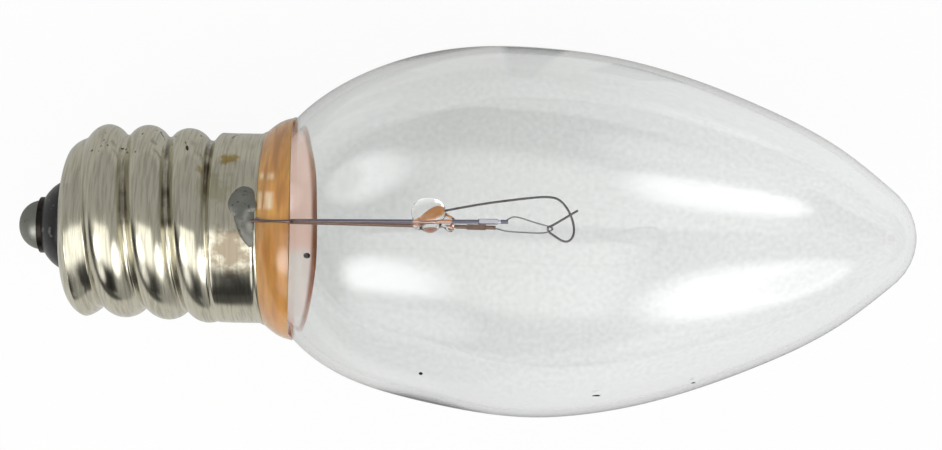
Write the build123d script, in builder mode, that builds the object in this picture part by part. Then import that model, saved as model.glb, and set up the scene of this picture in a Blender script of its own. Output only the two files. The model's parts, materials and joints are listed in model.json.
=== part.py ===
"""Candelabra bulb: a clear cone-shaped night-light lamp on a rolled-thread candelabra cap.

All lengths are in millimetres. The bulb is described by stations along its own axis, counted
from the lowest point of the solder contact, and by radii from that axis. It is placed as it
lies at rest on a table: on the side of the glass and on the crest of the thread, with the
glass tip raised. The origin is the middle of its footprint, on the table.
"""

from build123d import *
from math import atan, atan2, cos, degrees, radians, sin, sqrt
import os

os.makedirs("parts", exist_ok=True)

# Rolled screw shell: the root and the skirt follow the crest of the thread
thread_pitch = 2.54
thread_crest_radius = 5.86
thread_depth = 0.64
thread_root_radius = thread_crest_radius - thread_depth
thread_arc_radius = 1.35
thread_crest_station = 5.33
thread_start_angle = -120.0
thread_turns = 2.8
run_out_turns = 0.5
run_out_drop = 0.75
ridge_foot = 0.15
limit_margin = 0.03
shell_wall = 0.25
shell_end_station = 2.95
shell_end_slope = 0.15
shell_hole_radius = 2.8
shell_end_fillet = 1.2
shell_end_rounding = 2.1
skirt_start = 12.4
skirt_cone_length = 0.6
skirt_step = 0.12
skirt_radius = thread_crest_radius - skirt_step
skirt_bore = skirt_radius - shell_wall
rim_station = 15.1
rim_flare_length = 0.35
rim_flare = 0.14

# Glass envelope: stations and radii of its outer line, with a neck that clears the skirt
overall_length = 54.2
bulb_diameter = 22.3
glass_wall = 0.55
neck_start = 8.6
neck_end = 13.0
neck_clearance = 1.09
neck_radius = skirt_bore - neck_clearance
rim_clearance = 0.44
shoulder_station = 17.1
shoulder_step = 1.21
shoulder_radius = skirt_radius + shoulder_step
rise_station = 24.4
rise_radius = 10.45
widest_station = 30.2
fall_station = 37.1
fall_radius = 10.4
taper_station = 44.6
taper_radius = 7.9
nose_start_station = 49.8
nose_start_radius = 5.2
nose_sphere_radius = 3.6
nose_sphere_angle = 50.0

# Contact end
dome_radius = 1.5
dome_height = 1.3
eyelet_radius = 1.7
eyelet_thickness = 0.3
eyelet_barrel_radius = 0.72
eyelet_barrel_length = 1.9
eyelet_wall = 0.27
solder_spigot = 0.4
insulator_flange_depth = 1.1
insulator_nose_bulge = 0.25

# Side solder
side_solder_sphere = 3.86
side_solder_height = 0.46
side_solder_angle = 83.0
side_solder_set_back = 0.2
side_solder_over_rim = 0.3

# Basing cement
cement_depth = 2.3
cement_bulge_station = 16.3
cement_bulge_step = 0.98

# Stem
flare_rim_height = 0.5
flare_rim_lip = 0.1
press_station = 10.6
press_length = 2.3
press_width = 3.8
press_thickness = 1.5
press_neck_radius = 2.1
exhaust_radius = 0.85
exhaust_bore_radius = 0.45
exhaust_tip_station = 6.9

# Lead wires: their half spacing at the filament, over the press, in it and below it
lead_radius = 0.125
lead_half_gap = 0.5
lead_top_rise = 0.7
lead_top_gap = 0.62
lead_top_lean = 0.45
press_inset = 0.3
press_gap = 1.15
lead_low_drop = 1.0
lead_low_gap = 1.35
lead_turn_drop = 0.7
lead_turn_radius = 2.6
lead_lean = 0.3
lead_skirt_lean = 0.55
lead_bend = 1.0
lead_neck_clearance = 0.35
lead_skirt_clearance = 0.05
lead_rim_overhang = 0.1
lead_rim_bend = 0.2
lead_tail_drop = 1.2
lead_tail_clearance = 0.45
clamp_length = 1.25
clamp_width = 0.34
clamp_thickness = 0.14

# Glass bead
bead_station = 24.8
bead_offset = 1.04
bead_radius = 1.15
drop_station = 25.55
drop_offset = 0.45
drop_radius = 0.62

# Support wire: points along it are counted from its hook
support_radius = 0.07
hook_station = 32.36
hook_offset = 0.24
hook_radius = 0.16
hook_reach = 0.33
support_knee_drop = 3.56
support_knee_offset = 1.86
support_knee_bend = 6.0
support_shoulder_rise = 0.49
support_shoulder_offset = 2.19
support_loop_rise = 1.5
support_loop_offset = -0.62
support_loop_bend = 0.42
support_tail_offset = 1.36
support_tail_lift = 0.3

# Filament: bends over the hook, with its ends held in the clamps at the leads' ends
side_lead_drop = 2.64
side_lead_reach = hook_station - side_lead_drop
side_lead_offset = 0.64
centre_lead_drop = 3.41
centre_lead_reach = hook_station - centre_lead_drop
centre_lead_offset = 0.27
filament_radius = 0.06
filament_play = 0.015
filament_end_overlap = 0.42
filament_bow = 0.9
filament_sag = 0.04

# Steps used to look along an outline for the points that touch the table
outline_steps = 400


def nose_point(angle):
    """Give a point of the round nose, at an angle in degrees from the bulb's axis."""
    turn = radians(angle)
    centre = overall_length - nose_sphere_radius
    return (centre + nose_sphere_radius * cos(turn), nose_sphere_radius * sin(turn))


def glass_outline():
    """Draw the outer line of the glass from the open neck to the closed tip."""
    nose_turn = radians(nose_sphere_angle)
    Line((neck_start, neck_radius), (neck_end, neck_radius))
    body_line = Spline(
        (neck_end, neck_radius),
        (rim_station, skirt_bore - rim_clearance),
        (shoulder_station, shoulder_radius),
        (rise_station, rise_radius),
        (widest_station, bulb_diameter / 2),
        (fall_station, fall_radius),
        (taper_station, taper_radius),
        (nose_start_station, nose_start_radius),
        nose_point(nose_sphere_angle),
        tangents=((1, 0), (sin(nose_turn), -cos(nose_turn))),
        tangent_scalars=(1, 1),
    )
    ThreePointArc(nose_point(nose_sphere_angle), nose_point(nose_sphere_angle / 2), nose_point(0))
    return body_line


def dome_outline():
    """Draw the solder dome's outer line from its lowest point to its edge."""
    return ThreePointArc(
        (0, 0),
        (dome_height * 0.3, dome_radius * 0.72),
        (dome_height, dome_radius),
    )


def resting_plane():
    """Find the plane through the bulb's axis when it lies on the table at Z = 0.

    The bulb leans on the lowest full crest of its thread and on the side of its glass, so the
    table is the steepest line from that crest to the glass outline.
    """
    with BuildLine(mode=Mode.PRIVATE):
        glass_line = glass_outline()
        dome_line = dome_outline()
    steps = [i / outline_steps for i in range(outline_steps + 1)]
    glass_points = [glass_line @ step for step in steps]
    dome_points = [dome_line @ step for step in steps]
    crest_station = thread_crest_station - thread_pitch / 4
    lean = max(atan2(p.Y - thread_crest_radius, p.X - crest_station) for p in glass_points)
    high_x = (overall_length - nose_sphere_radius) * cos(lean) + nose_sphere_radius
    low_x = min(p.X * cos(lean) - p.Y * sin(lean) for p in dome_points)
    height = thread_crest_radius * cos(lean) - crest_station * sin(lean)
    return Plane(
        origin=(-(high_x + low_x) / 2, 0, height),
        x_dir=(cos(lean), 0, sin(lean)),
        z_dir=(-sin(lean), 0, cos(lean)),
    )


# The side plane holds the bulb's axis: X along it, Y to one side, Z up from the table.
# The end plane is square to the axis: X to that same side, Y up, Z along the axis.
side = resting_plane()
bulb_axis = Axis(side.origin, side.x_dir)
end = Plane(origin=side.origin, x_dir=side.y_dir, z_dir=side.x_dir)
thread_place = end.location * Rotation(0, 0, thread_start_angle)


def thread_ridge(station, height, start_radius, cone_angle, inset):
    """Sweep the round ridge of the thread along a helix that starts at angle zero."""
    arc_radius = thread_arc_radius - inset
    foot = thread_root_radius - ridge_foot - inset - (thread_crest_radius - thread_arc_radius)
    half_width = sqrt(arc_radius**2 - foot**2)
    with BuildPart() as ridge:
        with BuildLine() as path:
            Helix(thread_pitch, height, start_radius, (0, 0, station), cone_angle=cone_angle)
        start = path.line @ 0
        outward = Vector(start.X, start.Y, 0)
        with BuildSketch(Plane(start, x_dir=outward, z_dir=path.line % 0)):
            with BuildLine():
                Line((foot, -half_width), (foot, half_width))
                ThreePointArc((foot, half_width), (arc_radius, 0), (foot, -half_width))
            make_face()
        sweep(path=path.line, is_frenet=True)
    return ridge.part


def threaded_plug(inset):
    """Make the solid that the screw shell wraps, standing upright, drawn in by an inset."""
    ridge_radius = thread_crest_radius - thread_arc_radius
    first = thread_crest_station + thread_start_angle / 360 * thread_pitch
    length = thread_turns * thread_pitch
    run_out = run_out_turns * thread_pitch
    cone = atan(run_out_drop / run_out)
    run_out_angle = 360 * run_out_turns / cos(cone)
    main_ridge = thread_ridge(first, length, ridge_radius, 0, inset)
    run_in = thread_ridge(first - run_out, run_out, ridge_radius - run_out_drop, degrees(cone), inset)
    run_off = thread_ridge(first + length, run_out, ridge_radius, -degrees(cone), inset)
    root = thread_root_radius - inset
    skirt = skirt_radius - inset
    end_station = shell_end_station + inset
    limit_radius = max(thread_crest_radius, skirt_radius + rim_flare) + limit_margin - inset
    with BuildPart() as plug:
        with BuildSketch(Plane.XZ) as profile:
            with BuildLine():
                Polyline(
                    (0, end_station),
                    (shell_hole_radius, end_station),
                    (root, end_station + shell_end_slope),
                    (root, skirt_start - skirt_cone_length),
                    (skirt, skirt_start),
                    (skirt, rim_station - rim_flare_length),
                    (skirt + rim_flare, rim_station),
                    (0, rim_station),
                    close=True,
                )
            make_face()
            corner = profile.vertices().sort_by_distance((root, end_station + shell_end_slope))[0]
            fillet(corner, shell_end_fillet - inset)
        revolve(axis=Axis.Z)
        add(main_ridge)
        add(run_in.rotate(Axis.Z, -run_out_angle))
        add(run_off.rotate(Axis.Z, 360 * thread_turns))
        with BuildSketch(Plane.XZ) as limit:
            with BuildLine():
                Polyline(
                    (0, end_station),
                    (shell_hole_radius, end_station),
                    (limit_radius, end_station + shell_end_slope),
                    (limit_radius, rim_station),
                    (0, rim_station),
                    close=True,
                )
            make_face()
            corner = limit.vertices().sort_by_distance((limit_radius, end_station))[0]
            fillet(corner, shell_end_rounding - inset)
        revolve(axis=Axis.Z, mode=Mode.INTERSECT)
    return plug.part.moved(thread_place)


def wire_along(points, bends, radius):
    """Sweep a round wire along straight runs joined by tangent arcs, in the side plane's axes."""
    with BuildPart() as wire:
        with BuildLine(side) as path:
            FilletPolyline(*points, radius=bends)
        with BuildSketch(Plane(path.line @ 0, z_dir=path.line % 0)):
            Circle(radius)
        sweep(path=path.line)
    return wire.part


# Filament: one fine coil, drawn as a wire of the coil's own width, bent over the hook
hook_wrap = support_radius + filament_radius + filament_play
strand_mid_gap = (lead_half_gap + hook_wrap) / 2
filament_wire = wire_along(
    [
        (side_lead_reach - filament_end_overlap, side_lead_offset + filament_play, lead_half_gap),
        (side_lead_reach + lead_half_gap, side_lead_offset + strand_mid_gap, lead_half_gap - filament_sag),
        (hook_station - 2 * side_lead_offset, side_lead_offset + hook_wrap, strand_mid_gap),
        (hook_station + filament_play, hook_offset, hook_wrap + filament_play),
        (hook_station + filament_play, hook_offset, -hook_wrap - filament_play),
        (hook_station - filament_bow, -filament_sag, -strand_mid_gap / 1.5),
        (centre_lead_reach + filament_bow, -filament_sag / 2, -strand_mid_gap),
        (centre_lead_reach - filament_end_overlap, centre_lead_offset + filament_sag, -lead_half_gap),
    ],
    [strand_mid_gap, filament_bow, hook_wrap * 0.9, hook_wrap * 0.9, filament_bow, filament_bow],
    filament_radius,
)
with BuildPart() as filament:
    add(filament_wire)
filament.part.label = "filament"
export_step(filament.part, "parts/filament.step")

# Lead wires: each ends in a flattened clamp that grips one end of the filament
press_end = press_station + press_length
lead_turn_station = neck_start - flare_rim_height - lead_turn_drop
neck_gap_radius = neck_radius + lead_neck_clearance
skirt_gap_radius = skirt_bore - lead_radius - lead_skirt_clearance
rim_crossing = rim_station + lead_radius + lead_skirt_clearance
tail_gap = exhaust_radius + lead_tail_clearance
side_lead_end = (side_lead_reach, side_lead_offset, lead_half_gap)
centre_lead_end = (centre_lead_reach, centre_lead_offset, -lead_half_gap)
side_lead_top = (press_end + lead_top_rise, lead_top_lean, lead_top_gap)
centre_lead_top = (press_end + lead_top_rise, lead_top_lean, -lead_top_gap)
side_lead_wire = wire_along(
    [
        side_lead_end,
        side_lead_top,
        (press_end - press_inset, lead_lean, press_gap),
        (press_station - lead_low_drop, lead_lean, lead_low_gap),
        (lead_turn_station, lead_lean, lead_turn_radius),
        (lead_turn_station, lead_skirt_lean, neck_gap_radius),
        (skirt_start + press_inset, lead_skirt_lean, neck_gap_radius),
        (rim_station - lead_turn_drop, lead_skirt_lean, skirt_gap_radius),
        (rim_crossing, lead_skirt_lean, skirt_gap_radius),
        (rim_crossing, lead_skirt_lean, skirt_radius + rim_flare + lead_rim_overhang),
    ],
    [lead_bend] * 3 + [lead_bend / 2] * 2 + [lead_bend] * 2 + [lead_rim_bend],
    lead_radius,
)
centre_lead_wire = wire_along(
    [
        centre_lead_end,
        centre_lead_top,
        (press_end - press_inset, lead_lean, -press_gap),
        (press_station - lead_low_drop, lead_lean / 2, -lead_low_gap),
        (exhaust_tip_station, 0, -tail_gap),
        (exhaust_tip_station - lead_tail_drop, 0, 0),
        (dome_height - eyelet_thickness, 0, 0),
    ],
    [lead_bend, lead_bend, lead_bend, lead_bend / 2, lead_bend / 2],
    lead_radius,
)


def clamp_place(lead_end, lead_top):
    """Place a clamp on a lead wire's end: its length along the wire, its width to the side."""
    tip = side.from_local_coords(lead_end)
    along = tip - side.from_local_coords(lead_top)
    return Plane(tip - along.normalized() * clamp_length, x_dir=along, z_dir=side.z_dir).location


with BuildPart() as side_lead:
    add(side_lead_wire)
    with Locations(clamp_place(side_lead_end, side_lead_top)):
        Box(clamp_length, clamp_width, clamp_thickness * 2)
    add(filament.part, mode=Mode.SUBTRACT)
side_lead.part.label = "side_lead"
export_step(side_lead.part, "parts/side_lead.step")

with BuildPart() as centre_lead:
    add(centre_lead_wire)
    with Locations(clamp_place(centre_lead_end, centre_lead_top)):
        Box(clamp_length, clamp_width, clamp_thickness * 2)
    add(filament.part, mode=Mode.SUBTRACT)
centre_lead.part.label = "centre_lead"
export_step(centre_lead.part, "parts/centre_lead.step")

# Support wire: rises from the bead, turns round at the top and ends in a crossed hook
support_wire = wire_along(
    [
        (bead_station, bead_offset, 0),
        (hook_station - support_knee_drop, support_knee_offset, 0),
        (hook_station + support_shoulder_rise, support_shoulder_offset, 0),
        (hook_station + support_loop_rise, support_loop_offset, 0),
        (hook_station - hook_reach, hook_offset, 0),
        (hook_station + support_loop_rise, support_tail_offset, support_tail_lift),
    ],
    [support_knee_bend, support_shoulder_rise, support_loop_bend, hook_radius],
    support_radius,
)
with BuildPart() as filament_support:
    add(support_wire)
filament_support.part.label = "filament_support"
export_step(filament_support.part, "parts/filament_support.step")

# Glass bead: a fused drop that holds the two leads and the support wire
bead_centre = side.from_local_coords((bead_station, bead_offset, 0))
drop_centre = side.from_local_coords((drop_station, drop_offset, 0))
with BuildPart() as glass_bead:
    with Locations(bead_centre):
        Sphere(bead_radius)
    with Locations(drop_centre):
        Sphere(drop_radius)
    for wire in (side_lead, centre_lead, filament_support):
        add(wire.part, mode=Mode.SUBTRACT)
glass_bead.part.label = "glass_bead"
export_step(glass_bead.part, "parts/glass_bead.step")

# Glass envelope: one blown piece, open at the neck
with BuildPart() as glass_form:
    with BuildSketch(side):
        with BuildLine():
            glass_outline()
            Polyline((overall_length, 0), (neck_start, 0), (neck_start, neck_radius))
        make_face()
    revolve(axis=bulb_axis)
with BuildPart() as glass_envelope:
    add(glass_form.part)
    neck_face = glass_envelope.faces().filter_by(GeomType.PLANE).sort_by(bulb_axis)[0]
    offset(amount=-glass_wall, openings=neck_face)
glass_envelope.part.label = "glass_envelope"
export_step(glass_envelope.part, "parts/glass_envelope.step")

# Stem: a flare fused to the neck, a flat press round the leads and a sealed exhaust tube
flare_bore = neck_radius - glass_wall - flare_rim_lip
with BuildPart() as stem:
    with BuildSketch(side):
        with BuildLine():
            Polyline(
                (neck_start - flare_rim_height, neck_radius),
                (neck_start, neck_radius),
                (neck_start, flare_bore),
                (press_station, press_neck_radius),
                (press_station, press_neck_radius - glass_wall + flare_rim_lip),
                (neck_start - flare_rim_height, flare_bore),
                close=True,
            )
        make_face()
    revolve(axis=bulb_axis)
    with BuildSketch(end.offset(press_station)):
        Circle(press_neck_radius)
    with BuildSketch(end.offset(press_station + press_length / 3)):
        Rectangle(press_thickness, press_width)
    loft()
    with BuildSketch(end.offset(press_station + press_length / 3)):
        Rectangle(press_thickness, press_width)
    extrude(amount=press_length * 2 / 3)
    with BuildSketch(side):
        with BuildLine():
            JernArc((exhaust_tip_station, 0), (0, 1), exhaust_radius, -90)
            Polyline(
                (exhaust_tip_station + exhaust_radius, exhaust_radius),
                (press_station, exhaust_radius),
                (press_station, 0),
                (exhaust_tip_station, 0),
            )
        make_face()
    revolve(axis=bulb_axis)
    with BuildSketch(end.offset(exhaust_tip_station + exhaust_radius)):
        Circle(exhaust_bore_radius)
    extrude(amount=press_end - exhaust_tip_station, mode=Mode.SUBTRACT)
    for wire in (side_lead, centre_lead):
        add(wire.part, mode=Mode.SUBTRACT)
stem.part.label = "stem"
export_step(stem.part, "parts/stem.step")

# Screw shell: one rolled sheet with its thread showing inside and out
shell_form = threaded_plug(0)
shell_hollow = threaded_plug(shell_wall)
with BuildPart() as screw_shell:
    add(shell_form)
    add(shell_hollow, mode=Mode.SUBTRACT)
    with BuildSketch(end.offset(shell_end_station)):
        Circle(shell_hole_radius)
    extrude(amount=shell_wall * 2, both=True, mode=Mode.SUBTRACT)
screw_shell.part.label = "screw_shell"
export_step(screw_shell.part, "parts/screw_shell.step")

# Contact eyelet: a flat washer with a barrel that the centre lead comes through
barrel_bore = eyelet_barrel_radius - eyelet_wall
with BuildPart() as contact_eyelet:
    with BuildSketch(side):
        with BuildLine():
            Polyline(
                (dome_height, barrel_bore),
                (dome_height, eyelet_radius),
                (dome_height + eyelet_thickness, eyelet_radius),
                (dome_height + eyelet_thickness, eyelet_barrel_radius),
                (dome_height + eyelet_barrel_length, eyelet_barrel_radius),
                (dome_height + eyelet_barrel_length, barrel_bore),
                close=True,
            )
        make_face()
    revolve(axis=bulb_axis)
contact_eyelet.part.label = "contact_eyelet"
export_step(contact_eyelet.part, "parts/contact_eyelet.step")

# Insulator: moulded into the closed end of the shell and round the eyelet's barrel
nose_start = dome_height + eyelet_thickness
flange_start = shell_end_station + shell_wall
with BuildPart() as insulator_flange:
    with BuildSketch(end.offset(flange_start)):
        Circle(thread_crest_radius)
    extrude(amount=insulator_flange_depth)
    add(shell_hollow, mode=Mode.INTERSECT)
with BuildPart() as insulator:
    with BuildSketch(side):
        with BuildLine():
            Line((nose_start, 0), (nose_start, eyelet_radius))
            ThreePointArc(
                (nose_start, eyelet_radius),
                (
                    (nose_start + shell_end_station - insulator_nose_bulge) / 2,
                    (eyelet_radius + shell_hole_radius + insulator_nose_bulge) / 2,
                ),
                (shell_end_station, shell_hole_radius),
            )
            Polyline(
                (shell_end_station, shell_hole_radius),
                (flange_start, shell_hole_radius),
                (flange_start, 0),
                (nose_start, 0),
            )
        make_face()
    revolve(axis=bulb_axis)
    add(insulator_flange.part)
    with BuildSketch(end.offset(nose_start)):
        Circle(eyelet_barrel_radius)
    extrude(amount=flange_start + insulator_flange_depth, mode=Mode.SUBTRACT)
insulator.part.label = "insulator"
export_step(insulator.part, "parts/insulator.step")

# Contact solder: a dome over the eyelet with a spigot that fills the mouth of its barrel
with BuildPart() as tip_solder:
    with BuildSketch(side):
        with BuildLine():
            dome_outline()
            Polyline(
                (dome_height, dome_radius),
                (dome_height, barrel_bore),
                (dome_height + solder_spigot, barrel_bore),
                (dome_height + solder_spigot, 0),
                (0, 0),
            )
        make_face()
    revolve(axis=bulb_axis)
    add(centre_lead.part, mode=Mode.SUBTRACT)
tip_solder.part.label = "tip_solder"
export_step(tip_solder.part, "parts/tip_solder.step")

# Basing cement: fills the skirt round the neck and stands out in a ring against the glass
with BuildPart() as basing_cement:
    with BuildSketch(side):
        with BuildLine():
            Polyline(
                (rim_station - cement_depth, 0),
                (rim_station - cement_depth, skirt_bore),
                (rim_station - rim_flare_length, skirt_bore),
                (rim_station, skirt_bore + rim_flare),
                (rim_station, skirt_radius + rim_flare),
            )
            Spline(
                (rim_station, skirt_radius + rim_flare),
                (cement_bulge_station, skirt_radius + cement_bulge_step),
                (shoulder_station, shoulder_radius),
            )
            Polyline(
                (shoulder_station, shoulder_radius),
                (shoulder_station, 0),
                (rim_station - cement_depth, 0),
            )
        make_face()
    revolve(axis=bulb_axis)
    add(glass_form.part, mode=Mode.SUBTRACT)
    add(side_lead.part, mode=Mode.SUBTRACT)
basing_cement.part.label = "basing_cement"
export_step(basing_cement.part, "parts/basing_cement.step")

# Side solder: a low drop on the skirt that runs over the rim and holds the side lead's end
blob_reach = skirt_radius + side_solder_height - side_solder_sphere
blob_angle = radians(side_solder_angle)
blob_centre = side.from_local_coords(
    (
        rim_station - side_solder_set_back,
        blob_reach * cos(blob_angle),
        blob_reach * sin(blob_angle),
    )
)
with BuildPart() as side_solder:
    with Locations(blob_centre):
        Sphere(side_solder_sphere)
    with BuildSketch(end.offset(rim_station + side_solder_over_rim)):
        Circle(thread_crest_radius * 2)
    extrude(amount=side_solder_sphere * 2, mode=Mode.SUBTRACT)
    add(shell_form, mode=Mode.SUBTRACT)
    for piece in (basing_cement, side_lead, glass_form):
        add(piece.part, mode=Mode.SUBTRACT)
side_solder.part.label = "side_solder"
export_step(side_solder.part, "parts/side_solder.step")
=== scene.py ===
"""Looks of the candelabra bulb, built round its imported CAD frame.

Every CAD solid takes its finish here. The glass, the rolled shell, the cement ring, the side
solder, the bead, the support wire and the filament are drawn again with the uneven forms of one
real bulb. The script adds the copper in the bead, the lead's end over the rim and four specks of
dirt, and then the camera, the pale floor and the soft light.

Lengths are in millimetres in the dataclasses and become metres where a mesh is made. Places are
given along the bulb's own axis, as in the CAD part: a station counted from the contact, an
offset to the side and a height above the axis.
"""

import json
import logging
import math
from dataclasses import dataclass
from enum import Enum
from typing import Mapping, Sequence

import bmesh
import bpy
import numpy as np
from mathutils import Matrix, Vector, noise

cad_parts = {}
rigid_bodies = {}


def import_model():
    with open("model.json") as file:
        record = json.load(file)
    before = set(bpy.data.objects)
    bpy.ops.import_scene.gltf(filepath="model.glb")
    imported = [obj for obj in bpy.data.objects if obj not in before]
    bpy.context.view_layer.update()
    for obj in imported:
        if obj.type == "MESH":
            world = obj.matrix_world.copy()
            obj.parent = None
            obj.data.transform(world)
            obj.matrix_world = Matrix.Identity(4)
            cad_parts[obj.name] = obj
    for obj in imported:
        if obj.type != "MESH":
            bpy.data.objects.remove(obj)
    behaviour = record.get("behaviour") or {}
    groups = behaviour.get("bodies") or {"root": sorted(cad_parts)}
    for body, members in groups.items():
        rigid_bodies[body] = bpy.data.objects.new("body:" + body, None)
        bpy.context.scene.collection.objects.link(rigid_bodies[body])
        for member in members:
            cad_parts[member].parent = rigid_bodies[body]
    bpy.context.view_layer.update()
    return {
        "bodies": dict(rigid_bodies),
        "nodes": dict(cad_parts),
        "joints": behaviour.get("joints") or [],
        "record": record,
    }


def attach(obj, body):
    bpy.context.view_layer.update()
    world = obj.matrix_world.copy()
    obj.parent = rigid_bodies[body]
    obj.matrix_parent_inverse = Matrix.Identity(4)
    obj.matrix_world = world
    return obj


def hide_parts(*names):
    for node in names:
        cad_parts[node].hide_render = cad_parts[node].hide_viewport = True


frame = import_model()

MM = 0.001
MOUNT_STATION = 8.0
RIM_STATION = 15.1
SKIRT_RADIUS = 5.74
MERGE_DISTANCE = 1e-7

log = logging.getLogger("candelabra_bulb")
logging.basicConfig(level=logging.INFO, format="%(name)s: %(message)s")

# A Span is a pair of limits, and a Masked has two limits and the softness of their edges.
Colour = tuple[float, float, float]
Point = tuple[float, float, float]
Span = tuple[float, float]
Masked = tuple[float, float, float]
Faces = list[tuple[int, ...]]
Socket = bpy.types.NodeSocket

# No place on the bulb is as far out as FAR, and most values of a noise lie in CLOUD_RANGE.
FAR = 99.0
CLOUD_RANGE: Span = (0.35, 0.65)
RISING: Span = (0.0, 1.0)
FALLING: Span = (1.0, 0.0)
WHITE: Colour = (1.0, 1.0, 1.0)
SCRATCH_STRETCH: Point = (0.45, 3.0, 3.0)


class Slot(Enum):
    """The record's material slots."""

    CLEAR_GLASS = "clear_glass"
    LEAD_WIRE = "lead_wire"
    SUPPORT_WIRE = "support_wire"
    FILAMENT_WIRE = "filament_wire"
    AMBER_CEMENT = "amber_cement"
    NICKEL_PLATE = "nickel_plate"
    BLACK_INSULATOR = "black_insulator"
    BRASS = "brass"
    SOLDER = "solder"


@dataclass(frozen=True)
class BulbAxis:
    """The bulb's own axis as it lies in the row frame."""

    origin: Vector
    along: Vector
    side: Vector
    up: Vector

    @classmethod
    def from_record(cls, record: Mapping) -> "BulbAxis":
        """Read the axis from the record's screw cap mount.

        Args:
            record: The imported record.

        Returns:
            The axis, with its origin at the solder contact.
        """
        mount = next(m for m in record["mounts"] if m["name"] == "screw_cap")
        along = -Vector(mount["axis"]).normalized()
        side = Vector((0, 1, 0))
        origin = Vector(mount["pos_m"]) - along * (MOUNT_STATION * MM)
        return cls(origin, along, side, along.cross(side).normalized())

    def place(self, station: float, offset: float, height: float) -> Vector:
        """Give a point in metres from millimetres along the axis, to the side and up."""
        return self.origin + (self.along * station + self.side * offset + self.up * height) * MM

    def matrix(self) -> Matrix:
        """Give the transform whose Z runs along the axis and whose X points to the side."""
        turn = Matrix((self.side, self.up, self.along)).transposed().to_4x4()
        return Matrix.Translation(self.origin) @ turn


# Shader helpers


def rgba(colour: Colour) -> tuple[float, float, float, float]:
    """Give a colour with full opacity."""
    return (*colour, 1.0)


class NodeTree:
    """A thin layer over a node tree that adds nodes and links them by name."""

    def __init__(self, tree: bpy.types.NodeTree) -> None:
        self.tree = tree

    def add(self, kind: str, **settings: object) -> bpy.types.Node:
        """Add a node and set its inputs or properties.

        Args:
            kind: The node's type name.
            **settings: Properties by name, or inputs by name with spaces as underscores.

        Returns:
            The new node.
        """
        node = self.tree.nodes.new(kind)
        for key, value in settings.items():
            if hasattr(node, key):
                setattr(node, key, value)
            else:
                self.set(node, key.replace("_", " "), value)
        return node

    def set(self, node: bpy.types.Node, name: str | int, value: object) -> None:
        """Set one input to a constant, or link it to an output socket."""
        socket = node.inputs[name]
        if isinstance(value, Socket):
            self.tree.links.new(value, socket)
        else:
            socket.default_value = value

    def math(self, operation: str, first: object, second: object = 0.0) -> Socket:
        """Combine two values and give the result's socket."""
        node = self.add("ShaderNodeMath", operation=operation)
        self.set(node, 0, first)
        self.set(node, 1, second)
        return node.outputs[0]

    def product(self, first: object, *others: object) -> Socket:
        """Multiply values and give the result's socket."""
        for other in others:
            first = self.math("MULTIPLY", first, other)
        return first

    def vector(self, operation: str, first: object, second: object) -> bpy.types.Node:
        """Combine two vectors and give the node, which has a vector and a Value to take."""
        node = self.add("ShaderNodeVectorMath", operation=operation)
        self.set(node, 0, first)
        self.set(node, 1, second)
        return node

    def remap(
        self, value: Socket, low: object, high: object, ends: Sequence[object] = RISING, smooth: bool = True
    ) -> Socket:
        """Carry a value from one range over to another.

        Args:
            value: The value.
            low: Where the first range starts.
            high: Where the first range ends.
            ends: What comes out at low and at high.
            smooth: Whether the change eases in and out.

        Returns:
            The result's socket.
        """
        kind = "SMOOTHSTEP" if smooth else "LINEAR"
        node = self.add("ShaderNodeMapRange", interpolation_type=kind, Value=value)
        for name, limit in zip(("From Min", "From Max", "To Min", "To Max"), (low, high, *ends)):
            self.set(node, name, limit)
        return node.outputs[0]

    def mix(self, mask: object, low: object, high: object) -> Socket:
        """Blend between two colours, or colour sockets, by a mask and give the colour socket."""
        # The node's colour sockets are inputs 6 and 7 and output 2.
        node = self.add("ShaderNodeMix", data_type="RGBA", Factor=mask)
        for number, colour in ((6, low), (7, high)):
            self.set(node, number, rgba(colour) if isinstance(colour, tuple) else colour)
        return node.outputs[2]

    def clouds(self, place: Socket, scale: object, detail: float, roughness: float = 0.5) -> Socket:
        """Make noise about one half and give its socket."""
        node = self.add("ShaderNodeTexNoise", Vector=place, Scale=scale, Detail=detail, Roughness=roughness)
        return node.outputs[0]

    def object_place(self) -> Socket:
        """Give the socket of a point's place on its object, in metres."""
        return self.add("ShaderNodeTexCoord").outputs["Object"]

    def use(self, tree: bpy.types.NodeTree, **inputs: object) -> bpy.types.NodeOutputs:
        """Use a shared effect and give its outputs."""
        return self.add("ShaderNodeGroup", node_tree=tree, **inputs).outputs


class Group(NodeTree):
    """A shader node group in the making, with float inputs and float outputs."""

    def __init__(self, name: str, inputs: Mapping[str, float], outputs: Sequence[str]) -> None:
        """Start the group.

        Args:
            name: The group's name.
            inputs: Input names with their default values.
            outputs: Output names.
        """
        super().__init__(bpy.data.node_groups.new(name, "ShaderNodeTree"))
        for key, value in inputs.items():
            socket = self.tree.interface.new_socket(key, in_out="INPUT", socket_type="NodeSocketFloat")
            socket.default_value = value
        for key in outputs:
            self.tree.interface.new_socket(key, in_out="OUTPUT", socket_type="NodeSocketFloat")
        self.given = self.add("NodeGroupInput").outputs
        self.result = self.add("NodeGroupOutput")

    def give(self, name: str, value: Socket) -> None:
        """Send a value out of the group."""
        self.set(self.result, name, value)

    def past_threshold(self, value: Socket) -> Socket:
        """Mask where a value passes the group's Threshold, softly over its Width."""
        low = self.given["Threshold"]
        return self.remap(value, low, self.math("ADD", low, self.given["Width"]))


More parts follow.
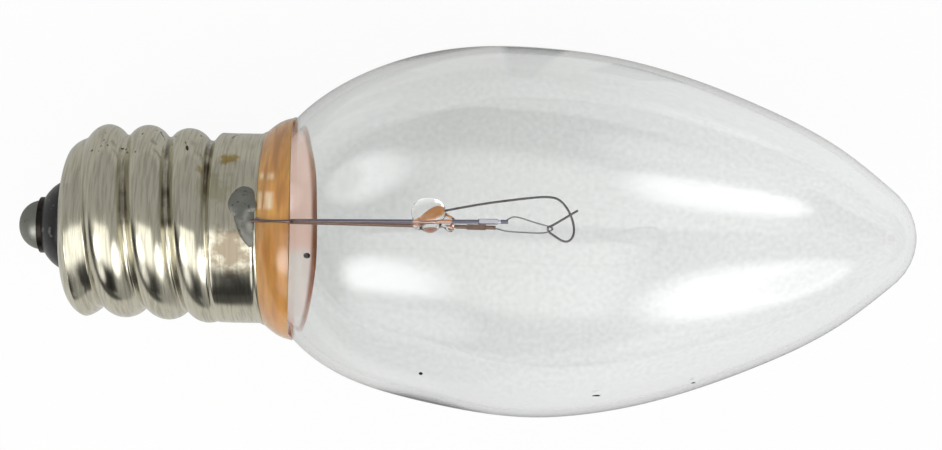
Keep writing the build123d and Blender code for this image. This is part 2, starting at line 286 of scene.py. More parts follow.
class Effects:
    """Shader node groups that several finishes share."""

    def __init__(self, axis: BulbAxis) -> None:
        self.bulb_place = self._bulb_place(axis)
        self.speckle = self._speckle()
        self.haze = self._haze()
        self.band = self._band()
        self.rolled = self._rolled(self.bulb_place)

    @staticmethod
    def _bulb_place(axis: BulbAxis) -> bpy.types.NodeTree:
        """Give a point's station, offset, height and distance from the axis, in millimetres."""
        group = Group("bulb_place", {}, ["Station", "Offset", "Height", "Radius"])
        apart = group.vector("SUBTRACT", group.object_place(), tuple(axis.origin)).outputs[0]
        parts = []
        for name, way in (("Station", axis.along), ("Offset", axis.side), ("Height", axis.up)):
            parts.append(group.vector("DOT_PRODUCT", apart, tuple(way / MM)).outputs["Value"])
            group.give(name, parts[-1])
        squares = [group.product(part, part) for part in parts[1:]]
        group.give("Radius", group.math("SQRT", group.math("ADD", *squares)))
        return group.tree

    @staticmethod
    def _band() -> bpy.types.NodeTree:
        """Make a mask that is one where a value lies between two limits, with soft edges."""
        group = Group("band", {"Value": 0.0, "From": 0.0, "To": 1.0, "Edge": 0.1}, ["Mask"])
        masks = []
        for limit, ends in (("From", RISING), ("To", FALLING)):
            top = group.math("ADD", group.given[limit], group.given["Edge"])
            masks.append(group.remap(group.given["Value"], group.given[limit], top, ends))
        group.give("Mask", group.product(*masks))
        return group.tree

    @staticmethod
    def _rolled(bulb_place: bpy.types.NodeTree) -> bpy.types.NodeTree:
        """Make streaks and short scratches that run round the rolled shell."""
        inputs = {"Fine": 7.0, "Long": 0.5, "Threshold": 0.69, "Width": 0.03}
        group = Group("rolled", inputs, ["Streaks", "Scratches"])
        place = group.use(bulb_place)
        scales = (("Station", "Fine"), ("Offset", "Long"), ("Height", "Long"))
        parts = [group.product(place[name], group.given[scale]) for name, scale in scales]
        spot = group.add("ShaderNodeCombineXYZ", X=parts[0], Y=parts[1], Z=parts[2]).outputs[0]
        group.give("Streaks", group.clouds(spot, scale=1.0, detail=4.0))
        short = group.vector("MULTIPLY", spot, SCRATCH_STRETCH).outputs[0]
        group.give("Scratches", group.past_threshold(group.clouds(short, scale=1.0, detail=1.0)))
        return group.tree

    @staticmethod
    def _speckle() -> bpy.types.NodeTree:
        """Make a mask of small scattered pits and scratches."""
        group = Group("speckle", {"Scale": 900.0, "Threshold": 0.7, "Width": 0.04}, ["Mask"])
        grain = group.clouds(group.object_place(), group.given["Scale"], detail=3.0, roughness=0.6)
        group.give("Mask", group.past_threshold(grain))
        return group.tree

    @staticmethod
    def _haze() -> bpy.types.NodeTree:
        """Make a soft cloudy value between its low and high inputs."""
        group = Group("haze", {"Scale": 200.0, "Low": 0.2, "High": 0.4}, ["Value"])
        cloud = group.clouds(group.object_place(), group.given["Scale"], detail=4.0)
        ends = (group.given["Low"], group.given["High"])
        group.give("Value", group.remap(cloud, *CLOUD_RANGE, ends, smooth=False))
        return group.tree


class Finish(NodeTree):
    """A procedural material in the making, with its principled shader."""

    def __init__(self, name: str, effects: Effects) -> None:
        self.material = bpy.data.materials.new(name)
        self.material.use_nodes = True
        super().__init__(self.material.node_tree)
        self.effects = effects
        self.shader = self.tree.nodes["Principled BSDF"]
        self.output = self.tree.nodes["Material Output"]

    def shade(self, **inputs: object) -> None:
        """Set inputs of the principled shader, with spaces as underscores."""
        for key, value in inputs.items():
            self.set(self.shader, key.replace("_", " "), value)

    def band(self, value: Socket, low: float, high: float, edge: float) -> Socket:
        """Mask the stretch between two values, each with a soft edge above it."""
        return self.use(self.effects.band, Value=value, From=low, To=high, Edge=edge)[0]

    def above(self, value: Socket, limit: float, edge: float) -> Socket:
        """Mask what lies above a limit."""
        return self.band(value, limit, FAR, edge)

    def below(self, value: Socket, limit: float, edge: float) -> Socket:
        """Mask what lies below a limit."""
        return self.band(value, -FAR, limit, edge)

    def haze(self, scale: float, ends: Span) -> Socket:
        """Give a soft cloudy value between two ends."""
        return self.use(self.effects.haze, Scale=scale, Low=ends[0], High=ends[1])[0]

    def speckle(self, scale: float, threshold: float) -> Socket:
        """Give a mask of small scattered pits."""
        return self.use(self.effects.speckle, Scale=scale, Threshold=threshold)[0]


@dataclass(frozen=True)
class GlassFinish:
    """Clear blown glass."""

    tint: Colour = (0.985, 0.99, 0.988)
    ior: float = 1.5
    roughness: float = 0.0

    def build(self, effects: Effects) -> bpy.types.Material:
        """Make the material."""
        finish = Finish("clear_glass", effects)
        finish.shade(Base_Color=rgba(self.tint), Roughness=self.roughness, IOR=self.ior)
        finish.shade(Transmission_Weight=1.0)
        return finish.material


@dataclass(frozen=True)
class MetalFinish:
    """Plain metal with a cloudy dullness and small pits."""

    name: str
    colour: Colour
    stain: Colour
    roughness: Span = (0.25, 0.45)
    haze_scale: float = 300.0
    pit_scale: float = 2500.0
    pit_threshold: float = 0.62

    def build(self, effects: Effects) -> bpy.types.Material:
        """Make the material."""
        finish = Finish(self.name, effects)
        pits = finish.speckle(self.pit_scale, self.pit_threshold)
        finish.shade(Base_Color=finish.mix(pits, self.colour, self.stain), Metallic=1.0)
        finish.shade(Roughness=finish.haze(self.haze_scale, self.roughness))
        return finish.material


@dataclass(frozen=True)
class Stain:
    """One stain on the shell: its middle as station, offset and height, and how it looks."""

    centre: Point
    reach: float
    colour: Colour
    strength: float


@dataclass(frozen=True)
class ShellFinish:
    """Nickel-plated rolled brass with streaks round it, valleys darkened by dirt and painted shade,
    scratches and stains.

    Each edge is a limit and the softness of the change there.
    """

    colour: Colour = (0.70, 0.67, 0.55)
    streak: Colour = (0.53, 0.505, 0.41)
    streak_edge: Span = (0.42, 0.25)
    scratch: Colour = (0.05, 0.045, 0.04)
    scratch_edge: Span = (4.1, 0.4)
    valley_dirt_and_shade: Colour = (0.13, 0.105, 0.075)
    valley_edge: Span = (5.38, 0.14)
    upper_edge: Span = (-0.6, 1.0)
    inward_edge: Span = (4.6, 0.6)
    grime_and_shade: Span = (0.15, 1.0)
    grime_and_shade_scale: float = 700.0
    stains: tuple[Stain, ...] = (
        Stain((13.25, 4.05, 4.05), 0.50, (0.36, 0.24, 0.03), 0.8),
        Stain((11.35, 3.25, 4.40), 0.35, (0.34, 0.22, 0.05), 0.7),
        Stain((12.60, 2.40, 5.20), 0.90, (0.40, 0.38, 0.22), 0.5),
        Stain((13.55, -1.35, 5.55), 1.25, (0.27, 0.215, 0.15), 0.85),
    )
    stain_scale: float = 1400.0
    stain_core: float = 0.4
    roughness: Span = (0.13, 0.24)
    haze_scale: float = 260.0
    ridge_strength: float = 0.12
    ridge_depth: float = 0.02

    def _stain(self, finish: Finish, spot: Socket, stain: Stain) -> Socket:
        """Make the mask of one uneven stain and give its socket."""
        distance = finish.vector("DISTANCE", spot, stain.centre).outputs["Value"]
        wander = finish.haze(self.stain_scale, (-stain.reach / 2, stain.reach / 2))
        uneven = finish.math("ADD", distance, wander)
        mask = finish.below(uneven, stain.reach * self.stain_core, stain.reach)
        return finish.product(mask, stain.strength)

    def build(self, effects: Effects) -> bpy.types.Material:
        """Make the material."""
        finish = Finish("nickel_plate", effects)
        rolled = finish.use(effects.rolled)
        place = finish.use(effects.bulb_place)
        offset = place["Offset"]
        colour = finish.mix(finish.above(rolled["Streaks"], *self.streak_edge), self.colour, self.streak)
        # The thread's valleys darken on the upper side: partly dirt, partly painted shade in the recesses.
        dirt_and_shade = finish.product(
            finish.below(place["Radius"], *self.valley_edge),
            finish.haze(self.grime_and_shade_scale, self.grime_and_shade),
            finish.above(offset, *self.upper_edge),
            finish.above(place["Station"], *self.inward_edge),
        )
        colour = finish.mix(dirt_and_shade, colour, self.valley_dirt_and_shade)
        spot = finish.add("ShaderNodeCombineXYZ", X=place["Station"], Y=offset, Z=place["Height"]).outputs[0]
        for stain in self.stains:
            colour = finish.mix(self._stain(finish, spot, stain), colour, stain.colour)
        marks = finish.product(rolled["Scratches"], finish.above(offset, *self.scratch_edge))
        finish.shade(Base_Color=finish.mix(marks, colour, self.scratch), Metallic=1.0)
        finish.shade(Roughness=finish.haze(self.haze_scale, self.roughness))
        ridges = finish.add("ShaderNodeBump", Strength=self.ridge_strength, Distance=self.ridge_depth * MM)
        finish.set(ridges, "Height", rolled["Streaks"])
        finish.shade(Normal=ridges.outputs[0])
        return finish.material


@dataclass(frozen=True)
class LeadFinish:
    """Lead wire: blue-grey and brown from heat, copper in the bead's seal, painted highlight at a clamp.

    Each edge is a limit and the softness of the change there. The seal and the painted highlight
    have two limits and a softness.
    """

    blue: Colour = (0.20, 0.20, 0.27)
    brown: Colour = (0.26, 0.16, 0.12)
    blue_edge: Span = (0.40, 0.15)
    copper: Colour = (0.92, 0.40, 0.12)
    pink: Colour = (0.78, 0.50, 0.40)
    copper_edge: Span = (0.62, 0.1)
    seal: Masked = (23.75, 26.1, 0.15)
    painted_highlight: Colour = (0.80, 0.79, 0.90)
    highlight_stations: Masked = (27.9, 29.25, 0.05)
    highlight_offsets: Masked = (0.50, 0.74, 0.05)
    roughness: float = 0.3

    def build(self, effects: Effects) -> bpy.types.Material:
        """Make the material."""
        finish = Finish("lead_wire", effects)
        place = finish.use(effects.bulb_place)
        station, offset = place["Station"], place["Offset"]
        colour = finish.mix(finish.above(offset, *self.blue_edge), self.brown, self.blue)
        sealed = finish.mix(finish.above(offset, *self.copper_edge), self.pink, self.copper)
        colour = finish.mix(finish.band(station, *self.seal), colour, sealed)
        # A painted highlight lies across the clamp on one side of the wire.
        clamp = finish.band(station, *self.highlight_stations)
        highlight_mask = finish.product(clamp, finish.band(offset, *self.highlight_offsets))
        finish.shade(Base_Color=finish.mix(highlight_mask, colour, self.painted_highlight))
        finish.shade(Metallic=1.0, Roughness=self.roughness)
        return finish.material


@dataclass(frozen=True)
class CementFinish:
    """Translucent glossy amber cement, darker in its lower half, with a pinkish inner face.

    Each edge is a limit and the softness of the change there, and the painted window reflection
    has two limits and a softness along the ring and in each pane. The outer face is a cone: its
    radius at the rim's station and its slope tell the inner face from it. The inner face glows a
    little, which is painted light, and turns pale on one side.
    """

    colour: Colour = (0.74, 0.38, 0.10)
    dark: Colour = (0.46, 0.22, 0.07)
    streak_scales: Span = (2.6, 0.35)
    shade: float = 0.45
    shade_edge: Span = (0.2, 0.8)
    painted_reflection: Colour = (0.90, 0.74, 0.52)
    reflection_stations: Masked = (15.05, 15.95, 0.35)
    reflection_offsets: tuple[Masked, ...] = ((1.0, 2.0, 0.3), (2.75, 3.1, 0.3))
    rim_station: float = RIM_STATION
    rim_radius: float = 5.55
    slope: float = 0.551
    inner: Colour = (0.74, 0.54, 0.45)
    inner_edge: Span = (0.0, 0.15)
    inner_painted_glow: float = 0.55
    pale: Colour = (0.74, 0.71, 0.66)
    pale_edge: Span = (-2.2, 1.5)

    def build(self, effects: Effects) -> bpy.types.Material:
        """Make the material."""
        finish = Finish("amber_cement", effects)
        fine, long = self.streak_scales
        streaks = finish.use(effects.rolled, Fine=fine, Long=long)["Streaks"]
        cloud = finish.remap(streaks, *CLOUD_RANGE, smooth=False)
        place = finish.use(effects.bulb_place)
        station, offset = place["Station"], place["Offset"]
        rise = finish.product(finish.math("SUBTRACT", station, self.rim_station), self.slope)
        depth = finish.math("SUBTRACT", place["Radius"], finish.math("ADD", rise, self.rim_radius))
        inner = finish.below(depth, *self.inner_edge)
        lining_and_glow = finish.mix(finish.below(offset, *self.pale_edge), self.inner, self.pale)
        amber = finish.mix(cloud, self.colour, self.dark)
        shaded = finish.product(finish.below(offset, *self.shade_edge), self.shade)
        amber = finish.mix(shaded, amber, self.dark)
        # Two pale panes on the outer face are a painted reflection of a window, not the cement's colour.
        across = finish.band(station, *self.reflection_stations)
        for reflected_pane in self.reflection_offsets:
            mask = finish.product(finish.band(offset, *reflected_pane), across, finish.math("SUBTRACT", 1.0, cloud))
            amber = finish.mix(mask, amber, self.painted_reflection)
        # The inner face's colour also glows: painted light that brightens the cement's hidden side through
        # the glass.
        finish.shade(Base_Color=finish.mix(inner, amber, lining_and_glow), Emission_Color=lining_and_glow)
        finish.shade(Emission_Strength=finish.product(inner, self.inner_painted_glow))
        finish.shade(Roughness=0.12, Coat_Weight=0.6, Coat_Roughness=0.03, IOR=1.5)
        finish.shade(Subsurface_Weight=0.5, Subsurface_Scale=1.0 * MM)
        return finish.material


@dataclass(frozen=True)
class InsulatorFinish:
    """Black moulded insulating glass with a little dust."""

    colour: Colour = (0.012, 0.012, 0.013)
    dust: Colour = (0.10, 0.095, 0.09)
    dust_scale: float = 2200.0
    dust_threshold: float = 0.6
    roughness: float = 0.3

    def build(self, effects: Effects) -> bpy.types.Material:
        """Make the material."""
        finish = Finish("black_insulator", effects)
        dust = finish.speckle(self.dust_scale, self.dust_threshold)
        finish.shade(Base_Color=finish.mix(dust, self.colour, self.dust), Roughness=self.roughness)
        return finish.material


class Palette:
    """All finishes of the bulb, one for each of the record's slots."""

    def __init__(self, effects: Effects) -> None:
        finishes = {
            Slot.CLEAR_GLASS: GlassFinish(),
            Slot.LEAD_WIRE: LeadFinish(),
            Slot.SUPPORT_WIRE: MetalFinish("support_wire", (0.16, 0.155, 0.15), (0.08, 0.07, 0.07)),
            Slot.FILAMENT_WIRE: MetalFinish("filament_wire", (0.30, 0.30, 0.29), (0.2, 0.2, 0.2)),
            Slot.AMBER_CEMENT: CementFinish(),
            Slot.NICKEL_PLATE: ShellFinish(),
            Slot.BLACK_INSULATOR: InsulatorFinish(),
            Slot.BRASS: MetalFinish("brass", (0.035, 0.03, 0.027), (0.02, 0.02, 0.02)),
            Slot.SOLDER: MetalFinish("solder", (0.27, 0.27, 0.245), (0.15, 0.15, 0.135), (0.4, 0.65)),
        }
        self.materials = {slot: finish.build(effects) for slot, finish in finishes.items()}

    def __getitem__(self, slot: Slot) -> bpy.types.Material:
        return self.materials[slot]


class CadPieces:
    """The CAD nodes that stay in the picture as they were packed."""

    def __init__(self, loaded: Mapping) -> None:
        self.nodes = loaded["nodes"]
        self.slots = {part["node"]: Slot(part["material_slot"]) for part in loaded["record"]["subparts"]}

    def dress(self, palette: Palette) -> None:
        """Give every CAD node the finish of its slot."""
        for name, obj in self.nodes.items():
            obj.data.materials.clear()
            obj.data.materials.append(palette[self.slots[name]])
            log.info("CAD node %s takes %s", name, self.slots[name].value)


# Mesh helpers


def full_turn(count: int) -> np.ndarray:
    """Give evenly spaced angles round a full turn, in radians."""
    return np.linspace(0, 2 * math.pi, count, endpoint=False)


def grid_faces(rows: int, columns: int, closed_rows: bool = False, capped: bool = False) -> Faces:
    """List the faces of a grid of points that closes round its columns.

    Args:
        rows: Number of rows of points.
        columns: Number of points in each row.
        closed_rows: Whether the last row joins the first.
        capped: Whether a face fills the first row and the last.

    Returns:
        The faces, by point numbers.
    """
    faces = []
    for row in range(rows if closed_rows else rows - 1):
        low = row * columns
        high = (row + 1) % rows * columns
        for column in range(columns):
            after = (column + 1) % columns
            faces.append((low + column, low + after, high + after, high + column))
    if capped:
        end = rows * columns
        faces += [tuple(range(columns)), tuple(range(end - 1, end - columns - 1, -1))]
    return faces


def rings(stations: np.ndarray, radii: np.ndarray | float, angles: np.ndarray) -> np.ndarray:
    """Give points round the bulb's axis in its own frame, in metres.

    Args:
        stations: The stations in millimetres, as rows and columns, one column or one number.
        radii: The radii in millimetres, in any of these forms.
        angles: The angles in radians, from the side direction towards the top.

    Returns:
        An array of rows, columns and coordinates.
    """
    stations, radii, angles = np.broadcast_arrays(stations, radii, angles)
    return np.stack([radii * np.cos(angles), radii * np.sin(angles), stations], axis=-1) * MM


def ball_ways(rows: int, columns: int) -> np.ndarray:
    """Give directions all round a point, in rows from one pole to the other."""
    tilt = np.linspace(0, math.pi, rows)[:, None]
    turn = full_turn(columns)[None]
    flat = np.sin(tilt)
    return np.stack([flat * np.cos(turn), flat * np.sin(turn), np.cos(tilt) + 0 * turn], axis=-1)


def local(places: Sequence) -> np.ndarray:
    """Turn station, offset and height into the bulb's own frame: offset, height and station."""
    return np.roll(np.array(places, float), -1, axis=-1)


def smooth_max(first: np.ndarray, second: np.ndarray, softness: float) -> np.ndarray:
    """Give the larger of two values with a rounded change between them."""
    share = np.clip(0.5 + 0.5 * (first - second) / softness, 0.0, 1.0)
    return second * (1 - share) + first * share + softness * share * (1 - share)


def smooth_step(value: np.ndarray) -> np.ndarray:
    """Ease a value from zero to one."""
    value = np.clip(value, 0.0, 1.0)
    return value * value * (3 - 2 * value)


def rounded_path(route: Sequence[Point], steps: int, passes: int = 3) -> np.ndarray:
    """Cut the corners of a route until it is round, and spread points evenly along it.

    Args:
        route: The route's corners, as station, offset and height.
        steps: The number of points in the result.
        passes: How often the corners are cut.

    Returns:
        The points of the round path in the bulb's own frame, in millimetres.
    """
    path = local(route)
    for _ in range(passes):
        near = path[:-1] * 0.75 + path[1:] * 0.25
        far = path[:-1] * 0.25 + path[1:] * 0.75
        middle = np.stack([near, far], axis=1).reshape(-1, 3)
        path = np.vstack([path[:1], middle, path[-1:]])
    lengths = np.concatenate([[0.0], np.cumsum(np.linalg.norm(np.diff(path, axis=0), axis=1))])
    spots = np.linspace(0.0, lengths[-1], steps)
    return np.stack([np.interp(spots, lengths, path[:, part]) for part in range(3)], axis=1)


def frames_along(path: np.ndarray, aside: Point = (0.3, 0.5, 0.8)) -> tuple[np.ndarray, np.ndarray]:
    """Give two directions square to a path at each of its points, without twist.

    Args:
        path: The path's points.
        aside: Any direction in which the path doesn't start.

    Returns:
        The first directions and the second ones, square to each other.
    """
    ahead = np.gradient(path, axis=0)
    ahead /= np.linalg.norm(ahead, axis=1, keepdims=True)
    first = np.cross(ahead[0], aside)
    firsts = []
    for direction in ahead:
        first = first - direction * np.dot(first, direction)
        first = first / np.linalg.norm(first)
        firsts.append(first)
    return np.array(firsts), np.cross(ahead, np.array(firsts))


def tube(path: np.ndarray, radius: float, sides: int) -> tuple[np.ndarray, Faces]:
    """Make a closed round tube along a path in the bulb's own frame, as points and faces."""
    first, second = frames_along(path)
    turns = full_turn(sides)
    around = first[:, None] * np.cos(turns)[None, :, None] + second[:, None] * np.sin(turns)[None, :, None]
    return (path[:, None] + around * radius) * MM, grid_faces(len(path), sides, capped=True)


# Pieces


class Piece:
    """A piece of the bulb that this script draws, in the bulb's own frame."""

    def __init__(self, axis: BulbAxis, palette: Palette, sizes: object) -> None:
        self.axis = axis
        self.palette = palette
        self.sizes = sizes

    def add(self, name: str, points: np.ndarray, faces: Faces, slot: Slot, node: str = "") -> None:
        """Make one smooth visible piece that stands for a CAD node or is added to the bulb.

        Args:
            name: The piece's name.
            points: Its points in metres, in the bulb's own frame.
            faces: Its faces.
            slot: The record's slot that it takes its finish from.
            node: The CAD node that it replaces, if any.
        """
        mesh = bpy.data.meshes.new(name)
        mesh.from_pydata(points.reshape(-1, 3).tolist(), [], faces)
        mesh.transform(self.axis.matrix())
        mesh.polygons.foreach_set("use_smooth", [True] * len(mesh.polygons))
        work = bmesh.new()
        work.from_mesh(mesh)
        bmesh.ops.remove_doubles(work, verts=work.verts, dist=MERGE_DISTANCE)
        bmesh.ops.recalc_face_normals(work, faces=work.faces)
        work.to_mesh(mesh)
        work.free()
        mesh.materials.append(self.palette[slot])
        obj = bpy.data.objects.new(name, mesh)
        bpy.context.scene.collection.objects.link(obj)
        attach(obj, "root")
        if node:
            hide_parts(node)
        log.info("%s: %d faces, stands for %s", name, len(mesh.polygons), node or "nothing in the CAD part")


@dataclass(frozen=True)
class EnvelopeSizes:
    """How the blown glass departs from its CAD outline, and the specks of dirt on it.

    The wall grows thinner between the thinning stations and stays so beyond them. The glass leans
    to the side between the shift stations. A speck has a station, an offset, a length and a width.
    """

    centre_station: float = 27.0
    rows: int = 150
    columns: int = 192
    thinning: float = 0.18
    thinning_stations: Span = (22.0, 29.0)
    side_shift: float = 0.24
    shift_stations: Span = (17.0, 33.0)
    specks: tuple[tuple[float, float, float, float], ...] = (
        (24.95, -8.20, 0.24, 0.28),
        (35.10, -9.40, 0.50, 0.20),
        (40.80, -8.66, 0.30, 0.18),
        (18.35, -1.50, 0.42, 0.34),
    )
    speck_thickness: float = 0.05
    speck_rows: int = 9
    speck_columns: int = 14


class GlassEnvelope(Piece):
    """The blown glass, drawn finely on the CAD outline so that it refracts without facets."""

    sizes: EnvelopeSizes

    def _outlines(self, cad: bpy.types.Mesh) -> list[tuple[np.ndarray, np.ndarray]]:
        """Read the CAD glass as angles and distances round a point inside it.

        Args:
            cad: The mesh of the CAD glass.

        Returns:
            The outer line and the inner line, told apart by which way the surface faces.
        """
        inverse = self.axis.matrix().inverted()
        points = np.array([inverse @ v.co for v in cad.vertices]) / MM
        points[:, 2] -= self.sizes.centre_station
        normals = np.array([inverse.to_3x3() @ v.normal for v in cad.vertices])
        outward = np.sum(points * normals, axis=1) > 0
        radii = np.hypot(points[:, 0], points[:, 1])
        angles = np.arctan2(radii, points[:, 2])
        distances = np.hypot(radii, points[:, 2])
        lines = []
        for chosen in (outward, ~outward):
            order = np.argsort(angles[chosen])
            lines.append((angles[chosen][order], distances[chosen][order]))
        return lines

    def build(self, cad: bpy.types.Mesh) -> None:
        """Make the glass from the outer and inner outlines, and lay the specks on it.

        Args:
            cad: The mesh of the CAD glass.
        """
        sizes = self.sizes
        surfaces = []
        thick, thin = sizes.thinning_stations
        first, last = sizes.shift_stations
        for moved, (angles, distances) in zip((0.0, sizes.thinning), self._outlines(cad)):
            steps = np.linspace(angles[0], angles[-1], sizes.rows)[:, None]
            reach = np.interp(steps, angles, distances)
            stations = sizes.centre_station + reach * np.cos(steps)
            reach = reach + moved * smooth_step((stations - thick) / (thin - thick))
            stations = sizes.centre_station + reach * np.cos(steps)
            surface = rings(stations, reach * np.sin(steps), full_turn(sizes.columns))
            share = np.clip((stations - first) / (last - first), 0, 1)
            surface[..., 0] += sizes.side_shift * np.sin(math.pi * share) ** 2 * MM
            surfaces.append(surface)
        points = np.vstack([surfaces[0], surfaces[1][::-1]])
        faces = grid_faces(2 * sizes.rows, sizes.columns)
        self.add("envelope", points, faces, Slot.CLEAR_GLASS, "glass_envelope")
        self._specks(surfaces[0][:, 0] / MM)

    def _specks(self, outline: np.ndarray) -> None:
        """Lay the specks of dirt on the glass.

        Args:
            outline: The outer line, as offset, height and station in millimetres.
        """
        sizes = self.sizes
        order = np.argsort(outline[:, 2])
        ball = ball_ways(sizes.speck_rows, sizes.speck_columns)
        faces = grid_faces(sizes.speck_rows, sizes.speck_columns)
        for number, (station, offset, length, width) in enumerate(sizes.specks, start=1):
            radius = np.interp(station, outline[order, 2], outline[order, 0])
            outward = np.array((offset, math.sqrt(radius**2 - offset**2), 0)) / radius
            around = np.array((-outward[1], outward[0], 0))
            middle = outward * radius + (0, 0, station)
            points = middle + ball[..., :1] * (0, 0, length / 2) + ball[..., 1:2] * around * width / 2
            points = (points + ball[..., 2:] * outward * sizes.speck_thickness / 2) * MM
            self.add(f"glass_speck_{number}", points, faces, Slot.BLACK_INSULATOR)


@dataclass(frozen=True)
class ShellSizes:
    """The rolled screw shell, with the CAD shell's sizes, softer valleys and a slight lean.

    The lean to the side grows over the shift_rise stations and goes over the shift_fall ones.
    """

    pitch: float = 2.54
    crest_radius: float = 5.86
    root_radius: float = 5.22
    arc_radius: float = 1.35
    crest_station: float = 5.33
    start_angle: float = -120.0
    turns: float = 2.8
    turns_tried: tuple[int, int] = (-2, 5)
    run_out_turns: float = 0.5
    run_out_drop: float = 0.75
    wall: float = 0.25
    end_station: float = 2.95
    end_slope: float = 0.1
    hole_radius: float = 2.8
    end_fillet: float = 1.2
    end_rounding: float = 2.1
    skirt_start: float = 12.4
    skirt_cone_length: float = 0.6
    skirt_radius: float = SKIRT_RADIUS
    rim_station: float = RIM_STATION
    rim_flare_length: float = 0.35
    rim_flare: float = 0.14
    softness: float = 0.16
    side_shift: float = 0.33
    shift_rise: Span = (3.2, 5.6)
    shift_fall: Span = (7.0, 13.4)
    rows: int = 170
    row_crowding: float = 0.25
    columns: int = 220


class RolledShell(Piece):
    """The screw shell, rolled from sheet, with a thread that fades into the plain skirt."""

    sizes: ShellSizes

    def _ridge(self, stations: np.ndarray, degrees: np.ndarray) -> np.ndarray:
        """Give the height of the thread's ridge at each station and angle."""
        sizes = self.sizes
        height = np.zeros(np.broadcast(stations, degrees).shape)
        first = sizes.start_angle
        last = first + 360 * sizes.turns
        run_out = 360 * sizes.run_out_turns
        for turn in range(*sizes.turns_tried):
            angle = degrees + 360 * turn
            along = stations - (sizes.crest_station + angle / 360 * sizes.pitch)
            beyond = np.maximum(np.maximum(first - angle, angle - last), 0) / run_out
            arc = np.sqrt(np.maximum(sizes.arc_radius**2 - along**2, 0))
            ridge = sizes.crest_radius - sizes.arc_radius - beyond * sizes.run_out_drop + arc
            ridge = np.where((np.abs(along) < sizes.arc_radius) & (beyond <= 1), ridge, 0)
            joined = smooth_max(ridge, height, sizes.softness)
            height = np.where(ridge > height - sizes.softness, joined, height)
        return height

    def radius(self, stations: np.ndarray, degrees: np.ndarray) -> np.ndarray:
        """Give the shell's outer radius at each station and angle."""
        sizes = self.sizes
        end = sizes.end_station + sizes.end_slope
        corner = np.clip(end + sizes.end_fillet - stations, 0, sizes.end_fillet)
        root = sizes.root_radius - sizes.end_fillet + np.sqrt(sizes.end_fillet**2 - corner**2)
        cone = smooth_step((stations - sizes.skirt_start + sizes.skirt_cone_length) / sizes.skirt_cone_length)
        root = root + (sizes.skirt_radius - sizes.root_radius) * cone
        flare = smooth_step((stations - sizes.rim_station + sizes.rim_flare_length) / sizes.rim_flare_length)
        body = smooth_max(self._ridge(stations, degrees), root + sizes.rim_flare * flare, sizes.softness)
        corner = np.clip(end + sizes.end_rounding - stations, 0, sizes.end_rounding)
        limit = sizes.crest_radius - sizes.end_rounding + np.sqrt(sizes.end_rounding**2 - corner**2)
        limit = np.where(stations > sizes.skirt_start, sizes.skirt_radius + sizes.rim_flare, limit)
        return np.minimum(body, limit)

    def build(self) -> None:
        """Make the shell as one thin closed sheet."""
        sizes = self.sizes
        turns = full_turn(sizes.columns)
        share = np.linspace(0, 1, sizes.rows)[:, None]
        first = sizes.end_station + sizes.end_slope
        crowded = share * (1 - sizes.row_crowding) + share**2 * sizes.row_crowding
        stations = first + (sizes.rim_station - first) * crowded
        radii = self.radius(stations, np.degrees(turns)[None])
        mouth = rings(sizes.end_station, sizes.hole_radius, turns)[None]
        outer = rings(stations, radii, turns)
        inner_stations = np.maximum(stations, sizes.end_station + sizes.wall)
        inner = rings(inner_stations, np.maximum(radii - sizes.wall, sizes.hole_radius), turns)
        points = np.vstack([mouth, outer, inner[::-1]])
        (rise, full), (fall, gone) = sizes.shift_rise, sizes.shift_fall
        stations = points[..., 2] / MM
        share = smooth_step((stations - rise) / (full - rise))
        share = share - smooth_step((stations - fall) / (gone - fall))
        points[..., 0] += sizes.side_shift * share * MM
        faces = grid_faces(len(points), sizes.columns, closed_rows=True)
        self.add("shell", points, faces, Slot.NICKEL_PLATE, "screw_shell")


@dataclass(frozen=True)
class FilamentSizes:
    """The filament's route, as station, offset and height, and its fine coil."""

    route: tuple[Point, ...] = (
        (29.50, 0.66, 0.50),
        (29.76, 0.80, 0.49),
        (29.98, 0.95, 0.47),
        (30.44, 0.90, 0.42),
        (31.29, 0.61, 0.28),
        (32.18, 0.40, 0.18),
        (32.46, 0.26, 0.0),
        (32.20, 0.08, -0.18),
        (31.72, -0.03, -0.20),
        (30.44, 0.02, -0.33),
        (29.60, 0.06, -0.44),
        (29.20, 0.17, -0.50),
        (28.75, 0.25, -0.50),
    )
    coil_radius: float = 0.042
    coil_pitch: float = 0.05
    wire_radius: float = 0.015
    wire_sides: int = 5
    turn_steps: int = 9
    measure_steps: int = 200


class CoiledFilament(Piece):
    """The tungsten coil that hangs from the two clamps and bends over the hook."""

    sizes: FilamentSizes

    def build(self) -> None:
        """Wind the coil along its route."""
        sizes = self.sizes
        rough = rounded_path(sizes.route, sizes.measure_steps)
        turns = np.linalg.norm(np.diff(rough, axis=0), axis=1).sum() / sizes.coil_pitch
        path = rounded_path(sizes.route, int(turns * sizes.turn_steps))
        first, second = frames_along(path)
        angle = np.linspace(0, 2 * math.pi * turns, len(path))[:, None]
        coil = path + (first * np.cos(angle) + second * np.sin(angle)) * sizes.coil_radius
        self.add("coil", *tube(coil, sizes.wire_radius, sizes.wire_sides), Slot.FILAMENT_WIRE, "filament")


@dataclass(frozen=True)
class SupportSizes:
    """The support wire's route, as station, offset and height, and its thickness."""

    route: tuple[Point, ...] = (
        (25.10, 1.12, 0.0),
        (25.93, 1.30, 0.0),
        (27.38, 1.575, 0.0),
        (28.74, 1.79, 0.0),
        (30.44, 2.03, 0.0),
        (31.90, 2.20, 0.0),
        (32.75, 2.10, 0.0),
        (33.35, 1.40, 0.0),
        (33.66, 0.60, -0.05),
        (33.70, -0.05, -0.05),
        (33.45, -0.48, 0.0),
        (33.05, -0.52, 0.0),
        (32.50, -0.17, 0.0),
        (32.12, 0.08, 0.0),
        (32.10, 0.36, 0.05),
        (32.32, 0.42, 0.12),
        (33.05, 0.86, 0.22),
        (33.90, 1.39, 0.30),
    )
    radius: float = 0.072
    sides: int = 12
    steps: int = 260


